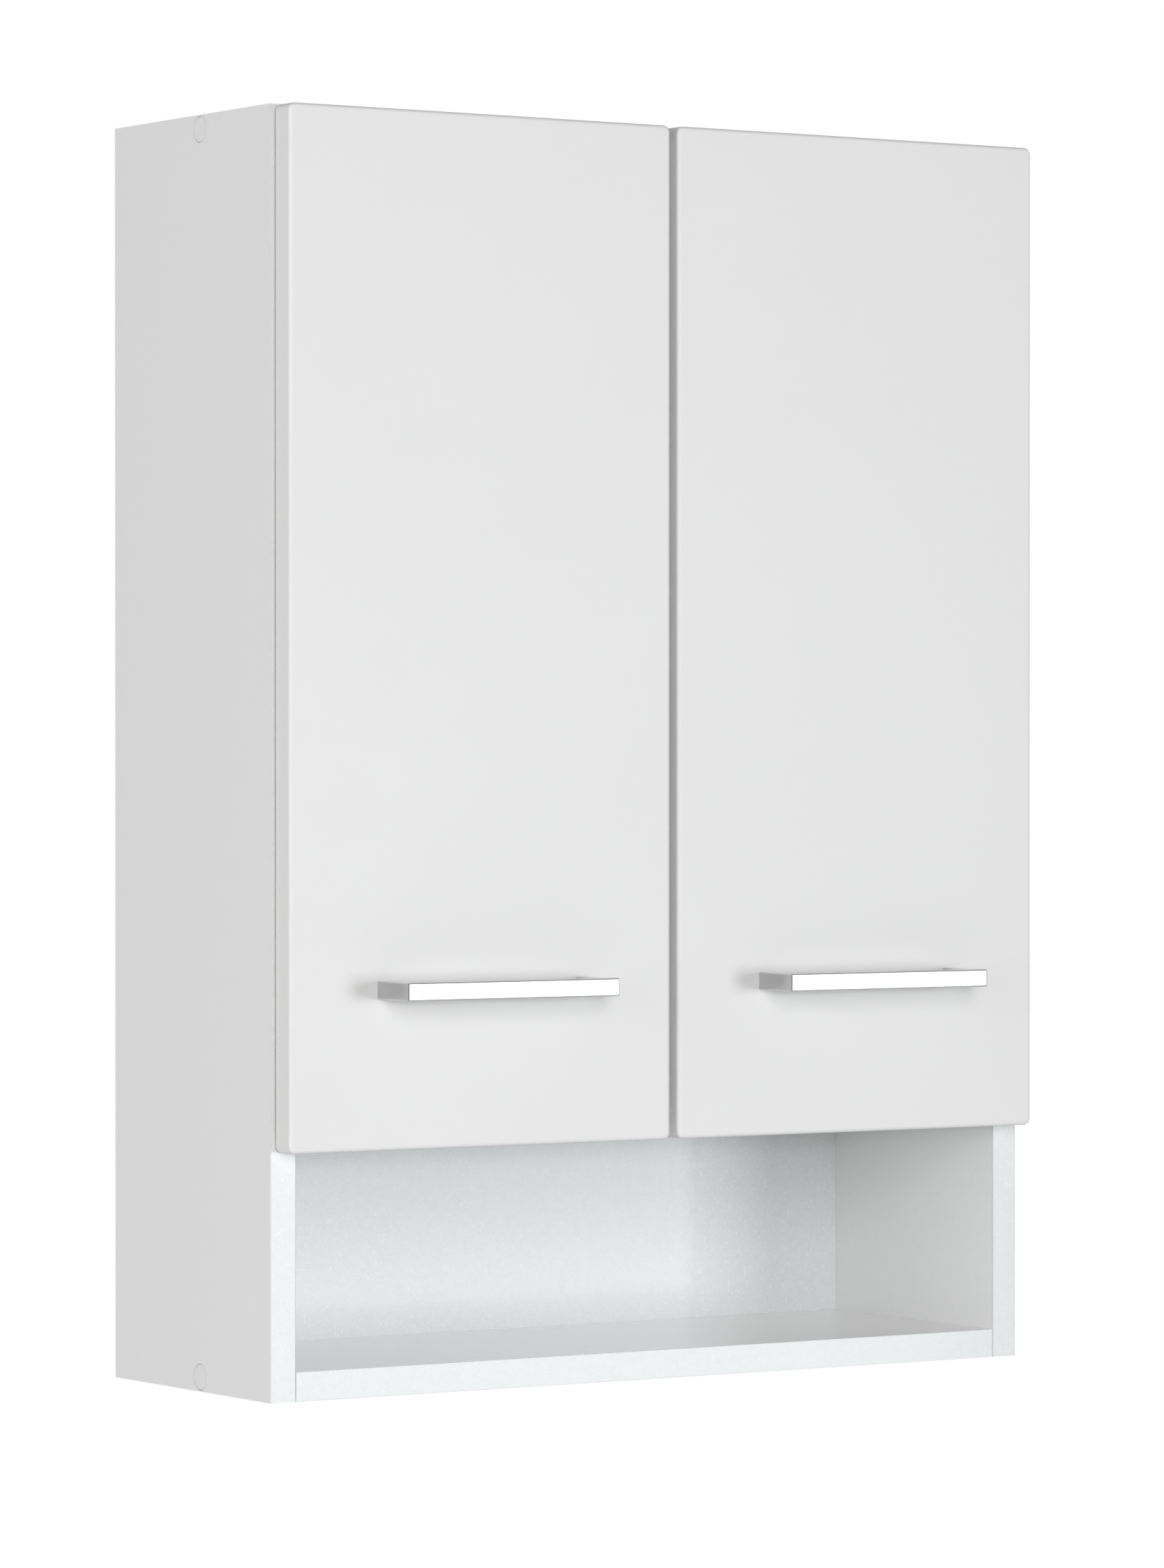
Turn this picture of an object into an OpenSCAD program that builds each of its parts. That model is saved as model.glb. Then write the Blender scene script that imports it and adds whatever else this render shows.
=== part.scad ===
// Hanging wall cabinet: two doors over an open niche, loose shelves behind the doors,
// concealed hinges, bar handles, and hangers that hook over two wall plates.
// X runs to the right, Y to the wall and Z up. The origin lies on the wall, in the middle
// of the wall plates' four screw holes.

/* [Cabinet] */
// Width over the side panels
cabinet_w = 500; // [400:10:700]
// Height of the side panels
cabinet_h = 700; // [640:10:900]
// Depth of the carcass without its doors
cabinet_d = 172; // [160:1:300]
// Thickness of the board of the carcass and shelves
board_t = 16; // [15:1:18]
// Radius of the edging on each board's front edges
edging_r = 0.3; // [0.3:0.1:2]

/* [Niche and shelves] */
// Clear height of the open niche
niche_h = 122; // [100:1:180]
// Gap between a loose shelf and each side panel
shelf_play = 1; // [0.5:0.1:2]
// Gap between a loose shelf and the back panel
shelf_back_gap = 1; // [0.5:0.1:5]
// Distance from the carcass's front to a loose shelf
shelf_setback = 20; // [10:1:40]
// Spacing of the holes in each shelf row
row_pitch = 32; // [20:1:32]
// Distance from the carcass's front to the front row of holes
row_setback = 37; // [36:1:45]
// Distance from the back panel to the rear row of holes
rear_row = 32; // [20:1:45]
// Radius of a shelf hole
shelf_hole_r = 2.5; // [2:0.1:3]
// Depth of a shelf hole
shelf_hole_deep = 9; // [7:0.5:12]
// Length of a shelf support's tongue
tongue_l = 9; // [7:0.5:14]
// Width of a shelf support's tongue
tongue_w = 9; // [6:0.5:14]
// Thickness of a shelf support's tongue
tongue_t = 2; // [1.5:0.1:3]

/* [Back panel] */
// Thickness of the back panel
back_t = 3; // [2.5:0.1:5]
// Space behind the back panel, for the wall plates
hang_space = 12; // [11:0.5:20]
// Depth of the groove that holds the back panel
groove_deep = 6; // [3:0.5:8]

/* [Doors] */
// Thickness of a door
door_t = 16; // [16:0.5:22]
// Gap between the doors and the carcass
door_gap = 2; // [2:0.1:4]
// Distance from a door's outer edge to the cabinet's side
door_reveal = 2; // [1:0.1:4]
// Distance from the doors' top edge to the cabinet's top
door_top_gap = 0.5; // [0:0.1:4]
// Gap between the two doors
door_mid_gap = 5; // [2:0.1:6]
// How far the doors reach below the fixed shelf
door_overhang = 3; // [0:0.5:10]
// Radius on the front edges of a door
door_edge_r = 2; // [1:0.1:2.5]
// Radius of a door's corners, seen from the front
door_corner_r = 4; // [2.5:0.1:5]
// Bevel on the rear edges of a door
door_break = 0.8; // [0.8:0.1:1.2]
// Radius of a door buffer
buffer_r = 4; // [3:0.5:5]
// Distance from a door's free edge to its buffers
buffer_in = 14; // [8:1:30]

/* [Handles] */
// Spacing of a handle's two screws
handle_span = 128; // [96:32:160]
// Height of the handle's bar
handle_h = 10; // [8:0.5:16]
// Width of a handle's leg
leg_w = 8; // [7:0.5:14]
// Thickness of the handle's bar, front to back
bar_t = 8; // [5:0.5:12]
// How far the handle stands out of the door
handle_out = 32; // [25:1:45]
// Height of the handle above the door's lower edge
handle_up = 87; // [40:1:300]
// Radius on the handle's front corners
handle_r = 1.2; // [0.5:0.1:2]
// Radius of a handle screw
handle_screw_r = 2; // [1.5:0.1:2.5]
// How deep a handle screw reaches into its leg
handle_screw_in = 10; // [6:1:18]

/* [Hinges] */
// Distance from a door's end to the middle of its hinge
hinge_end = 95; // [80:1:120]
// Radius of the cup's bore in the door
cup_r = 17.5; // [17.5:0.1:18]
// Depth of the cup's bore
cup_deep = 13; // [13:0.1:14]
// Board left between the cup's bore and the door's edge
cup_tab = 3; // [2.5:0.1:3]
// Thickness of the cup's flange on the door
flange_t = 1; // [0.8:0.1:1.1]
// Distance from the door's outer edge to the hinge pin
pivot_in = 6.3; // [6.1:0.1:6.3]
// Depth of the hinge pin below the door's rear face
pivot_deep = 9.8; // [9.6:0.1:9.8]
// Radius of the hinge pin
pin_r = 1; // [0.8:0.1:1.1]
// Radius of the arm's eye around the pin
eye_r = 1.9; // [1.7:0.1:1.9]
// Width of the arm inside the cup
arm_w = 8; // [7:0.1:8]
// Thickness of the arm where it bends around the door's edge
arm_t = 2.8; // [2.4:0.1:2.8]
// Distance from the pin to the arm beside the door's edge
arm_offset = 11.7; // [11.6:0.1:12]
// Width of the arm's body on the mounting plate
body_w = 14; // [13:0.5:16]
// Height of the arm's body
body_h = 6.5; // [6:0.1:9]
// Length of the arm's body
body_l = 44; // [42:1:60]
// Distance from the carcass's front to the arm's body
body_start = 20; // [16:1:24]
// Width of the mounting plate's rail
rail_w = 10; // [9:0.5:11]
// Thickness of the mounting plate's wings
wing_t = 2; // [1.5:0.1:2]
// Spacing of the mounting plate's two screws
wing_span = 32; // [30:1:40]
// Radius at the ends of the mounting plate's wings
wing_r = 6.5; // [5.5:0.5:8]
// Radius of a wood screw's shank
wood_screw_r = 1.75; // [1.5:0.05:2]
// Radius of a wood screw's head
wood_head_r = 3.3; // [3:0.1:4]
// Height of a wood screw's head
wood_head_h = 1.2; // [1:0.1:1.8]
// How deep a wood screw reaches into the board
wood_screw_in = 11; // [8:0.5:12]
// Radius of a screw in the hinge arm
arm_screw_r = 3; // [2.5:0.1:3.2]
// Distance from each end of the arm's body to the screw beside it
arm_screw_end = 10; // [9:0.5:12]

/* [Hangers and wall plates] */
// Width of a hanger's housing
hanger_w = 19; // [17:0.5:24]
// Depth of a hanger's housing
hanger_d = 42; // [40:1:60]
// Height of a hanger's housing
hanger_h = 60; // [56:1:70]
// Wall of a hanger's housing
hanger_wall = 2; // [1.5:0.1:3]
// Thickness of a hanger's cover
cover_t = 1.5; // [1:0.1:2.5]
// Gap between a hanger and the top panel
hanger_gap = 2; // [1:0.5:5]
// Thickness of the hook's steel
hook_t = 2.5; // [2:0.1:4]
// Height of the hook's tongue over the wall plate's lip
tongue_h = 9; // [7:0.5:11]
// Thickness of the wall plate's steel
plate_t = 2.5; // [2:0.1:3]
// Width of a wall plate
plate_w = 42; // [36:1:60]
// Gap between a wall plate and the side panel
plate_gap = 3; // [2:0.5:8]
// Space behind the wall plate's lip, for the hook
lip_space = 5; // [4.5:0.1:6]
// Height of the wall plate's lip
lip_h = 9; // [8.5:0.5:12]
// Spacing of a wall plate's two holes
wall_hole_span = 32; // [25:1:40]
// Radius of a wall plate's holes
wall_hole_r = 2.6; // [2:0.1:3.5]
// Board between a wall plate's holes and its ends
wall_hole_edge = 13; // [8:1:20]

/* [Board fittings] */
// Radius of a dowel's bore
dowel_r = 4; // [3:0.5:4]
// Length of a dowel
dowel_l = 30; // [24:1:35]
// Depth of a dowel's bore in the side panel
dowel_in = 11; // [8:0.5:12]
// Distance from the carcass's front to the front dowels
dowel_front = 30; // [20:1:40]
// Distance from the back panel to the rear dowels
dowel_rear = 25; // [15:1:30]
// Radius of a cover cap
cap_r = 7.2; // [6:0.1:7.5]
// Thickness of a cover cap
cap_t = 1.5; // [1.2:0.1:2]
// Bevel round a cover cap
cap_break = 0.4; // [0.2:0.1:0.6]
// Distance from the carcass's front to the board screws
screw_front = 76; // [60:1:100]
// Radius of a board screw's head
long_head_r = 5; // [4.5:0.1:5.5]
// Length of a board screw
long_screw_l = 48; // [40:1:60]
// Radius of a cam lock
cam_r = 7.5; // [6:0.1:7.5]
// Depth of a cam lock in the fixed shelf
cam_deep = 12.5; // [12:0.1:13]
// Distance from the side panel to a cam lock's middle
cam_in = 24; // [20:1:34]
// Distance from each dowel to the cam lock beside it
cam_from_dowel = 24; // [18:1:26]

/* [Hidden] */
$fn = 48;

// Every piece below is described for the left half. LEFT keeps it there, RIGHT mirrors it.
LEFT = 0;
RIGHT = 1;

// Play between a fixed piece and its seat, a pin and its running bore, and two parts that pass
fit_play = 0.05;
run_play = 0.06;
pass_play = 0.3;
// How far a cutter runs past the face that it opens
past = 1;
// Arms of a cross recess: their width, depth and reach as a share of the head's radius
recess_w = 1;
recess_deep = 1;
recess_reach = 0.6;
// Play of the back panel in its groove, across it and at its ends
groove_play = 0.1;
groove_end = 0.5;

// Carcass: inner faces of the side panels, front plane, and both faces of the back panel
side_in = cabinet_w / 2 - board_t;
front_y = -cabinet_d;
back_rear_y = -hang_space;
back_front_y = back_rear_y - back_t;
screw_y = front_y + screw_front;
cap_rear_x = -cabinet_w / 2 + cap_t;

// Heights above the cabinet's bottom
fixed_z = board_t + niche_h;
top_z = cabinet_h - board_t;
bays = 3;
bay_pitch = (top_z - fixed_z) / bays;
shelf_zs = [for (n = [1 : bays - 1]) fixed_z + n * bay_pitch];
lower = 0;
upper = 1;

// Doors, and the facets of their rounded edges
door_sides = 32;
door_round_step = 15;
door_x = door_reveal - cabinet_w / 2;
door_w = (cabinet_w - 2 * door_reveal - door_mid_gap) / 2;
door_rear_y = front_y - door_gap;
door_front_y = door_rear_y - door_t;
door_z = fixed_z - door_overhang;
door_h = cabinet_h - door_top_gap - door_z;
buffer_t = door_gap - pass_play;
buffer_zs = [fixed_z + board_t / 2, cabinet_h - board_t / 2];

// Handles
handle_x = door_x + door_w / 2;
handle_z = door_z + handle_up;
handle_screw_head_r = 2 * handle_screw_r;
handle_screw_head_h = 2.2;

// Hinges: a point of a hinge is counted from its pin, X to the cabinet's middle, Y to the wall
pivot_x = door_x + pivot_in;
pivot_y = door_rear_y - pivot_deep;
hinge_zs = [door_z + hinge_end, door_z + door_h - hinge_end];
cup_x = cup_tab + cup_r - pivot_in;
channel_play = 0.5;
channel_w = arm_w + 2 * channel_play;
channel_left = eye_r + pass_play;
channel_end = 1.5;
channel_right = arm_offset + arm_t + channel_end;
pin_l = 14;
ear_back = 6;
ear_x = cup_x + ear_back;
ear_z = 24;
ear_r = 6;
flange_r = cup_r + 0.4;
panel_x = -side_in - pivot_x;
front_from_pin = front_y - pivot_y;
body_y = front_from_pin + body_start;
plate_y = front_from_pin + row_setback;
web_x = arm_offset + arm_t;
body_nose = 4;
rail_start = body_y + body_nose + pass_play;
arm_screw_ys = [body_y + arm_screw_end, body_y + body_l - arm_screw_end];
arm_head_h = 2;
arm_head_lip = 1.4;
arm_head_r = arm_screw_r + arm_head_lip;

// Hangers: the hook's notch rests on the wall plate's lip at lip_z
hanger_top = top_z - hanger_gap;
hanger_mid = hanger_top - hanger_h / 2;
hanger_front = back_front_y - hanger_d;
hook_x = -side_in + hanger_w / 2;
hook_drop = 2;
lip_z = hanger_mid - hook_drop;
hook_wall_gap = 1.5;
prong_gap = 2;
prong_h = lip_h - prong_gap;
hook_in = 32;
hook_below = 12;
hook_above = 14;
tab_w = 11;
hanger_screw_r = 2.5;
// The screws end in bores that run from the hook's tab into its plate
hanger_screw_l = 14;
hanger_screw_below = 5;
hanger_screw_above = 8;
hanger_screw_zs = [lip_z - hanger_screw_below, lip_z + hanger_screw_above];
peg_r = 5;
peg_l = 11;
peg_z = 16;
slot_w = 10;

// Wall plates
plate_x = -side_in + plate_gap;
shelf_edge_z = lip_z - lip_h;
hang_z = shelf_edge_z - wall_hole_edge - wall_hole_span / 2;

// Board joints: dowels at three heights, screws at two, cams at the fixed shelf
joint_zs = [board_t / 2, fixed_z + board_t / 2, cabinet_h - board_t / 2];
screw_zs = [joint_zs[0], joint_zs[2]];
dowel_ys = [front_y + dowel_front, back_front_y - dowel_rear];
cam_ys = [dowel_ys[0] + cam_from_dowel, dowel_ys[1] - cam_from_dowel];
row_ys = [front_y + row_setback, back_front_y - rear_row];
long_head_h = 3;
long_shank_r = 3.5;
long_thread_r = 2.5;
cam_bolt_in = 11;
cam_thread_r = 2.5;
cam_shank_r = 3.5;
cam_neck_r = 2;
cam_head_r = 3.2;
cam_head_l = 3;
cam_neck_l = 4;
cam_end = 1.5;

// ---- shared shapes ----

// Moves a piece from the cabinet's bottom to the frame of the wall plates, left or right
module in_place(side) {
    translate([0, 0, -hang_z])
        mirror([side, 0, 0])
            children();
}

module both_sides() {
    for (side = [LEFT, RIGHT])
        in_place(side)
            children();
}

// Round bar along X from the point at, towards the cabinet's middle
module bar_x(at, r, l) {
    translate(at)
        rotate([0, 90, 0])
            cylinder(r = r, h = l);
}

// Round bar along Y from the point at, towards the wall
module bar_y(at, r, l) {
    translate(at)
        rotate([-90, 0, 0])
            cylinder(r = r, h = l);
}

// Cross recess in a screw's head, cut along +Z from the plane it stands on
module cross_recess(r) {
    for (turn = [0, 90])
        rotate([0, 0, turn])
            translate([-r * recess_reach, -recess_w / 2, -recess_deep])
                cube([2 * r * recess_reach, recess_w, recess_deep + past]);
}

// Section of a board with edging: X is its depth from the front, Y its thickness
module board_section(depth) {
    translate([edging_r, 0])
        square([depth - edging_r, board_t]);
    translate([0, edging_r])
        square([depth, board_t - 2 * edging_r]);
    for (y = [edging_r, board_t - edging_r])
        translate([edging_r, y])
            circle(edging_r);
}

// Level board, from the plane front towards the wall
module level_board(width, depth, front, z) {
    translate([-width / 2, front, z])
        rotate([90, 0, 90])
            linear_extrude(width)
                board_section(depth);
}

// Bores in both ends of a level board whose middle lies at height z
module end_bores(z, ys, r, deep) {
    for (side = [LEFT, RIGHT], y = ys)
        mirror([side, 0, 0])
            bar_x([-side_in - past, y, z], r, deep + past);
}

// Groove for the back panel in a level board, cut from z upwards
module back_groove(z) {
    translate([-cabinet_w / 2, back_front_y - groove_play, z])
        cube([cabinet_w, back_t + 2 * groove_play, groove_deep + past]);
}

// ---- carcass ----

module side_panel() {
    color("white")
        difference() {
            translate([board_t - cabinet_w / 2, front_y, 0])
                rotate([0, 0, 90])
                    linear_extrude(cabinet_h)
                        board_section(cabinet_d);
            // groove for the back panel
            translate([-side_in - groove_deep, back_front_y - groove_play, -past])
                cube([groove_deep + past, back_t + 2 * groove_play, cabinet_h + 2 * past]);
            side_board_bores();
            side_fitting_bores();
        }
}

// Bores that join the level boards to the side panel
module side_board_bores() {
    for (y = dowel_ys, z = joint_zs)
        bar_x([-side_in - dowel_in, y, z], dowel_r, dowel_in + past);
    for (y = cam_ys)
        bar_x([-side_in - cam_bolt_in, y, joint_zs[1]], cam_thread_r, cam_bolt_in + past);
    for (z = screw_zs) {
        bar_x([-cabinet_w / 2 - past, screw_y, z], long_shank_r, board_t + 2 * past);
        bar_x([-cabinet_w / 2 - past, screw_y, z],
            long_head_r, past + cap_t + long_head_h);
        bar_x([-cabinet_w / 2 - past, screw_y, z], cap_r + groove_play, past + cap_t);
    }
}

// Bores for shelf supports, mounting plates and the hanger
module side_fitting_bores() {
    for (z = shelf_zs, step = [-1, 0, 1], y = row_ys)
        bar_x([-side_in - shelf_hole_deep, y, z - shelf_hole_r + step * row_pitch],
            shelf_hole_r, shelf_hole_deep + past);
    for (z = hinge_zs, end = [-1, 1])
        bar_x([-side_in - wood_screw_in - fit_play, row_ys[0], z + end * wing_span / 2],
            wood_screw_r + fit_play, wood_screw_in + past);
    for (end = [-1, 1])
        bar_x([-side_in - peg_l - fit_play, hanger_front + hanger_d / 2, hanger_mid + end * peg_z],
            peg_r + fit_play, peg_l + past);
}

// Bore depth of dowels and board screws in the ends of level boards
module board_end_bores(z, screwed) {
    end_bores(z, dowel_ys, dowel_r, dowel_l - dowel_in + fit_play);
    if (screwed)
        end_bores(z, [screw_y], long_thread_r, long_screw_l + cap_t - board_t + fit_play);
}

module top_panel() {
    color("white")
        difference() {
            level_board(2 * side_in, cabinet_d, front_y, top_z);
            back_groove(top_z - past);
            board_end_bores(joint_zs[2], true);
        }
}

module bottom_panel() {
    color("white")
        difference() {
            level_board(2 * side_in, cabinet_d, front_y, 0);
            back_groove(board_t - groove_deep);
            board_end_bores(joint_zs[0], true);
        }
}

module fixed_shelf() {
    color("white")
        difference() {
            level_board(2 * side_in, back_front_y - front_y, front_y, fixed_z);
            board_end_bores(joint_zs[1], false);
            end_bores(joint_zs[1], cam_ys, cam_shank_r + pass_play, cam_in);
            for (side = [LEFT, RIGHT], y = cam_ys)
                mirror([side, 0, 0])
                    translate([-side_in + cam_in, y, fixed_z + board_t - cam_deep])
                        cylinder(r = cam_r, h = cam_deep + past);
        }
}

module loose_shelf(which) {
    color("white")
        level_board(2 * (side_in - shelf_play),
            back_front_y - shelf_back_gap - front_y - shelf_setback,
            front_y + shelf_setback, shelf_zs[which]);
}

module back_panel() {
    half_w = side_in + groove_deep - groove_end;
    low = board_t - groove_deep + groove_end;
    high = top_z + groove_deep - groove_end;
    color("whitesmoke")
        difference() {
            translate([-half_w, back_front_y, low])
                cube([2 * half_w, back_t, high - low]);
            // openings for the hanger hooks
            for (side = [LEFT, RIGHT])
                mirror([side, 0, 0])
                    translate([hook_x - slot_w / 2, back_front_y - past, lip_z - hook_below])
                        cube([slot_w, back_t + 2 * past, hook_below + hook_above]);
        }
}

module shelf_supports() {
    color("silver")
        for (z = shelf_zs, y = row_ys) {
            bar_x([-side_in - shelf_hole_deep + past, y, z - shelf_hole_r],
                shelf_hole_r - fit_play, shelf_hole_deep - past + tongue_t);
            translate([-side_in, y - tongue_w / 2, z - tongue_t])
                cube([tongue_l, tongue_w, tongue_t]);
        }
}

module board_dowels() {
    color("burlywood")
        for (y = dowel_ys, z = joint_zs)
            bar_x([-side_in - dowel_in + fit_play, y, z], dowel_r - fit_play, dowel_l - fit_play);
}

module board_screws() {
    color("silver")
        for (z = screw_zs)
            difference() {
                union() {
                    bar_x([cap_rear_x, screw_y, z], long_head_r - fit_play, long_head_h);
                    bar_x([cap_rear_x, screw_y, z], long_shank_r - fit_play, -side_in - cap_rear_x);
                    bar_x([cap_rear_x, screw_y, z], long_thread_r - fit_play, long_screw_l);
                }
                translate([cap_rear_x, screw_y, z])
                    rotate([0, -90, 0])
                        cross_recess(long_head_r);
            }
}

module cover_caps() {
    color("white")
        for (z = screw_zs)
            translate([cap_rear_x, screw_y, z])
                rotate([0, -90, 0]) {
                    cylinder(r = cap_r, h = cap_t - cap_break);
                    translate([0, 0, cap_t - cap_break])
                        cylinder(r1 = cap_r, r2 = cap_r - cap_break, h = cap_break);
                }
}

module cam_locks() {
    top = fixed_z + board_t;
    color("silver")
        for (y = cam_ys)
            difference() {
                translate([-side_in + cam_in, y, top - cam_deep])
                    cylinder(r = cam_r - fit_play, h = cam_deep);
                bar_x([-side_in, y, joint_zs[1]], cam_head_r + pass_play, cam_in + cam_end + pass_play);
                translate([-side_in + cam_in, y, top])
                    cross_recess(cam_r);
            }
}

module cam_bolts() {
    head_end = cam_in + cam_end;
    neck_start = head_end - cam_head_l - cam_neck_l;
    color("silver")
        for (y = cam_ys) {
            bar_x([-side_in - cam_bolt_in + fit_play, y, joint_zs[1]],
                cam_thread_r - fit_play, cam_bolt_in);
            bar_x([-side_in, y, joint_zs[1]], cam_shank_r, neck_start);
            bar_x([-side_in, y, joint_zs[1]], cam_neck_r, head_end);
            bar_x([-side_in + head_end - cam_head_l, y, joint_zs[1]], cam_head_r, cam_head_l);
        }
}

// ---- hangers and wall plates ----

module hanger() {
    color("white") {
        difference() {
            translate([-side_in, hanger_front, hanger_top - hanger_h])
                cube([hanger_w, hanger_d, hanger_h]);
            translate([-side_in, hanger_front, hanger_top - hanger_h])
                translate([hanger_wall, hanger_wall, hanger_wall])
                    cube([hanger_w, hanger_d - 2 * hanger_wall, hanger_h - 2 * hanger_wall]);
            // slot for the hook at the rear
            translate([hook_x - slot_w / 2, back_front_y - hanger_wall - past, lip_z - hook_below])
                cube([slot_w, hanger_wall + 2 * past, hook_below + hook_above]);
            // holes that the adjusting screws are turned through
            for (z = hanger_screw_zs)
                bar_y([hook_x, hanger_front - past, z],
                    hanger_screw_r + pass_play, hanger_wall + 2 * past);
        }
        for (end = [-1, 1])
            bar_x([-side_in - peg_l, hanger_front + hanger_d / 2, hanger_mid + end * peg_z],
                peg_r, peg_l + past);
    }
}

module hanger_cover() {
    color("white")
        translate([-side_in + hanger_w, hanger_front, hanger_top - hanger_h])
            cube([cover_t, hanger_d, hanger_h]);
}

module hanger_hook() {
    tab_y = back_front_y - hook_in;
    rear = -hook_wall_gap;
    prong_y = pass_play - lip_space;
    color("silver")
        difference() {
            union() {
                // plate in the housing, tongue through the back panel, prong behind the lip
                translate([hook_x - hook_t / 2, tab_y, lip_z - hook_below + pass_play])
                    cube([hook_t, hook_in, hook_below + hook_above - 2 * pass_play]);
                translate([hook_x - hook_t / 2, tab_y, lip_z])
                    cube([hook_t, rear - tab_y, tongue_h]);
                translate([hook_x - hook_t / 2, prong_y, lip_z - prong_h])
                    cube([hook_t, rear - prong_y, prong_h + tongue_h]);
                // bent tab with the two threads
                translate([hook_x - tab_w / 2, tab_y, lip_z - hook_below + pass_play])
                    cube([tab_w, hook_t, hook_below + hook_above - 2 * pass_play]);
            }
            for (z = hanger_screw_zs)
                bar_y([hook_x, tab_y - past, z], hanger_screw_r + fit_play, hanger_screw_l);
        }
}

module hanger_screws() {
    head_y = hanger_front + hanger_wall + pass_play;
    tab_y = back_front_y - hook_in;
    color("silver")
        for (z = hanger_screw_zs)
            difference() {
                bar_y([hook_x, head_y, z],
                    hanger_screw_r, tab_y - past - head_y + hanger_screw_l - pass_play);
                translate([hook_x, head_y, z])
                    rotate([90, 0, 0])
                        cross_recess(hanger_screw_r);
            }
}

module wall_plate() {
    low = hang_z - wall_hole_span / 2 - wall_hole_edge;
    color("silver")
        difference() {
            translate([plate_x, 0, 0])
                rotate([90, 0, 90])
                    linear_extrude(plate_w)
                        polygon([
                            [0, low], [0, shelf_edge_z], [-lip_space, shelf_edge_z], [-lip_space, lip_z],
                            [-lip_space - plate_t, lip_z], [-lip_space - plate_t, shelf_edge_z - plate_t],
                            [-plate_t, shelf_edge_z - plate_t], [-plate_t, low]
                        ]);
            for (end = [-1, 1])
                bar_y([plate_x + plate_w / 2, -plate_t - past, hang_z + end * wall_hole_span / 2],
                    wall_hole_r, plate_t + 2 * past);
        }
}

// ---- hinges ----

// Places a hinge piece at the pin of the lower or upper hinge
module at_hinge(which) {
    translate([pivot_x, pivot_y, hinge_zs[which]])
        children();
}

// Outline of the cup's flange, in X and Z
module flange_outline() {
    translate([cup_x, 0])
        circle(flange_r);
    translate([ear_x - ear_r, -ear_z])
        square([2 * ear_r, 2 * ear_z]);
    for (end = [-1, 1])
        translate([ear_x, end * ear_z])
            circle(ear_r);
}

module hinge_cup(which) {
    color("silver")
        at_hinge(which)
            difference() {
                union() {
                    bar_y([cup_x, pivot_deep - cup_deep + fit_play, 0], cup_r - fit_play, cup_deep);
                    translate([0, pivot_deep + flange_t, 0])
                        rotate([90, 0, 0])
                            linear_extrude(flange_t)
                                flange_outline();
                }
                // channel that the arm swings in
                translate([-channel_left, -channel_left, -channel_w / 2])
                    cube([
                        channel_left + channel_right,
                        channel_left + pivot_deep + flange_t + past,
                        channel_w
                    ]);
                // bore of the hinge pin
                translate([0, 0, -pin_l / 2])
                    cylinder(r = pin_r + fit_play, h = pin_l);
                for (end = [-1, 1])
                    bar_y([ear_x, pivot_deep - past, end * ear_z],
                        wood_screw_r + fit_play, flange_t + 2 * past);
            }
}

module hinge_pins() {
    color("gray")
        for (which = [lower, upper])
            at_hinge(which)
                translate([0, 0, fit_play - pin_l / 2])
                    cylinder(r = pin_r, h = pin_l - 2 * fit_play);
}

module hinge_arm(which) {
    color("silver")
        at_hinge(which)
            difference() {
                union() {
                    cylinder(r = eye_r, h = arm_w, center = true);
                    // across the cup, then out of it along the side panel
                    translate([0, -eye_r, -arm_w / 2])
                        cube([arm_offset + arm_t, arm_t, arm_w]);
                    translate([arm_offset, -eye_r, -arm_w / 2])
                        cube([arm_t, eye_r + body_y + body_nose, arm_w]);
                    translate([arm_offset, body_y, -body_w / 2])
                        cube([body_h, body_l, body_w]);
                }
                translate([0, 0, -arm_w / 2 - past])
                    cylinder(r = pin_r + run_play, h = arm_w + 2 * past);
                // hollow that straddles the mounting plate's rail
                translate([arm_offset - past, body_y + body_nose, -rail_w / 2 - pass_play])
                    cube([web_x - arm_offset + past, body_l - body_nose + past, rail_w + 2 * pass_play]);
                for (y = arm_screw_ys)
                    bar_x([arm_offset - past, y, 0], arm_screw_r + fit_play, body_h + 2 * past);
            }
}

// The rail carries the arm's body, so its height follows from where the pin lies
module mounting_plate(which) {
    color("silver")
        at_hinge(which)
            difference() {
                union() {
                    translate([panel_x, rail_start, -rail_w / 2])
                        cube([web_x - panel_x, body_y + body_l - rail_start, rail_w]);
                    translate([panel_x, plate_y, 0])
                        rotate([0, 90, 0])
                            linear_extrude(wing_t)
                                wing_outline();
                }
                for (end = [-1, 1])
                    bar_x([panel_x - past, plate_y, end * wing_span / 2],
                        wood_screw_r + fit_play, wing_t + 2 * past);
                for (y = arm_screw_ys)
                    bar_x([panel_x + past, y, 0], arm_screw_r + fit_play, web_x - panel_x);
            }
}

module wing_outline() {
    square([wing_span, 2 * wing_r], center = true);
    for (end = [-1, 1])
        translate([end * wing_span / 2, 0])
            circle(wing_r);
}

// Wood screw with a flat head, its head on the plane Z = 0 and its point towards -Z
module wood_screw(through) {
    difference() {
        union() {
            cylinder(r = wood_head_r, h = wood_head_h);
            translate([0, 0, -through - wood_screw_in + 2 * fit_play])
                cylinder(r = wood_screw_r, h = through + wood_screw_in);
        }
        translate([0, 0, wood_head_h])
            cross_recess(wood_head_r);
    }
}

module mounting_plate_screws() {
    color("gray")
        for (which = [lower, upper], end = [-1, 1])
            at_hinge(which)
                translate([panel_x + wing_t, plate_y, end * wing_span / 2])
                    rotate([0, 90, 0])
                        wood_screw(wing_t);
}

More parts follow.
